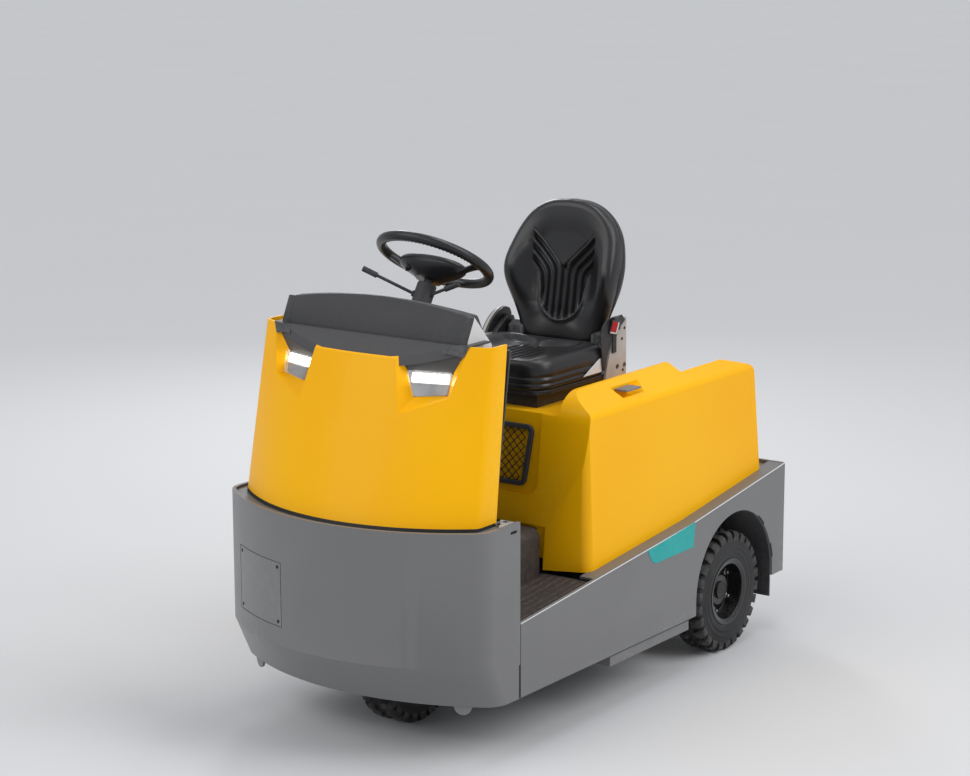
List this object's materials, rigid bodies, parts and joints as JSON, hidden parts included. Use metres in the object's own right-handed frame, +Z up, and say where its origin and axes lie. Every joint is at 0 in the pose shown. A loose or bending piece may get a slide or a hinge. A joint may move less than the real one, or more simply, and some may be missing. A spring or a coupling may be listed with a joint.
{
  "type": "seated electric tow tractor",
  "caption": "Seated electric tow tractor with a rounded bumper, yellow cowl and battery hood, driver's seat, one steered front wheel, driven rear wheels and a tow coupling.",
  "frame": {"origin": "on the ground, midway between the bumper's front and the end of the tow coupling", "axes": "+Z up, the front faces -Y, +X is the vehicle's left"},
  "size_m": [0.99, 2.04, 1.5643],
  "materials": {
    "yellow_moulding": "satin moulded skin",
    "grey_paint": "satin grey paint",
    "dark_plastic": "grained moulding",
    "pale_plastic": "satin moulding",
    "lamp_glass": "clear lens",
    "lamp_case": "moulded case",
    "floor_rubber": "ribbed mat",
    "tyre_rubber": "moulded tyre",
    "rim_black": "black paint",
    "seat_vinyl": "grained vinyl",
    "seat_metal": "black powder coat",
    "bracket_grey": "light grey paint",
    "buckle_red": "red latch",
    "frame_black": "black chassis paint",
    "axle_iron": "painted casting",
    "battery_case": "painted case",
    "coupling_steel": "black paint",
    "tail_lens": "red lens"
  },
  "bodies": {
    "chassis": {"chassis_frame": "frame_black", "front_bumper": "grey_paint", "bumper_access_panel": "grey_paint", "bumper_corner_plates": "bracket_grey", "front_cowl": "yellow_moulding", "dash_shelf": "dark_plastic", "dash_visor": "dark_plastic", "dash_cheeks": "pale_plastic", "instrument_display": "dark_plastic", "headlamp_lenses": "lamp_glass", "headlamp_housings": "lamp_case", "knee_panel": "dark_plastic", "steering_console": "dark_plastic", "steering_column": "dark_plastic", "travel_lever": "dark_plastic", "floor_platform": "floor_rubber", "step_plates": "floor_rubber", "side_skirt_left": "grey_paint", "side_skirt_right": "grey_paint", "sill_boxes": "grey_paint", "wheel_liners": "dark_plastic", "rear_panel": "grey_paint", "rear_axle": "axle_iron", "battery_block": "battery_case", "tow_coupling": "coupling_steel", "rear_lamps": "tail_lens", "pedals": "floor_rubber"},
    "battery_hood": {"battery_hood": "yellow_moulding", "pocket_frame": "dark_plastic", "seat_base": "seat_metal", "seat_cushion": "seat_vinyl", "seat_back": "seat_vinyl", "seat_bracket": "bracket_grey", "hip_restraint": "dark_plastic", "belt_buckle": "buckle_red"},
    "steer_fork": {"steer_fork": "axle_iron"},
    "front_wheel": {"front_tyre": "tyre_rubber", "front_rim": "rim_black"},
    "rear_wheel_left": {"rear_tyre_left": "tyre_rubber", "rear_rim_left": "rim_black"},
    "rear_wheel_right": {"rear_tyre_right": "tyre_rubber", "rear_rim_right": "rim_black"},
    "steering_wheel": {"steering_wheel": "dark_plastic"}
  },
  "joints": [
    {"name": "steer_turn", "type": "hinge", "parent": "chassis", "child": "steer_fork", "pos_m": [0, -0.565, 0.209], "axis": [0, 0, 1], "range_deg": [-75, 75]},
    {"name": "front_wheel_spin", "type": "hinge", "parent": "steer_fork", "child": "front_wheel", "pos_m": [0, -0.565, 0.209], "axis": [1, 0, 0], "continuous": true},
    {"name": "rear_left_spin", "type": "hinge", "parent": "chassis", "child": "rear_wheel_left", "pos_m": [0.417, 0.625, 0.209], "axis": [1, 0, 0], "continuous": true},
    {"name": "rear_right_spin", "type": "hinge", "parent": "chassis", "child": "rear_wheel_right", "pos_m": [-0.417, 0.625, 0.209], "axis": [1, 0, 0], "continuous": true},
    {"name": "steering_wheel_turn", "type": "hinge", "parent": "chassis", "child": "steering_wheel", "pos_m": [0, -0.416, 1.444], "axis": [0, 0.5299, 0.848], "range_deg": [-451, 451]},
    {"name": "hood_open", "type": "hinge", "parent": "chassis", "child": "battery_hood", "pos_m": [0, 0.89, 0.627], "axis": [-1, 0, 0], "range_deg": [0, 55]}
  ],
  "couplings": [
    {"joint": "steering_wheel_turn", "follows": "steer_turn", "ratio": 6}
  ]
}
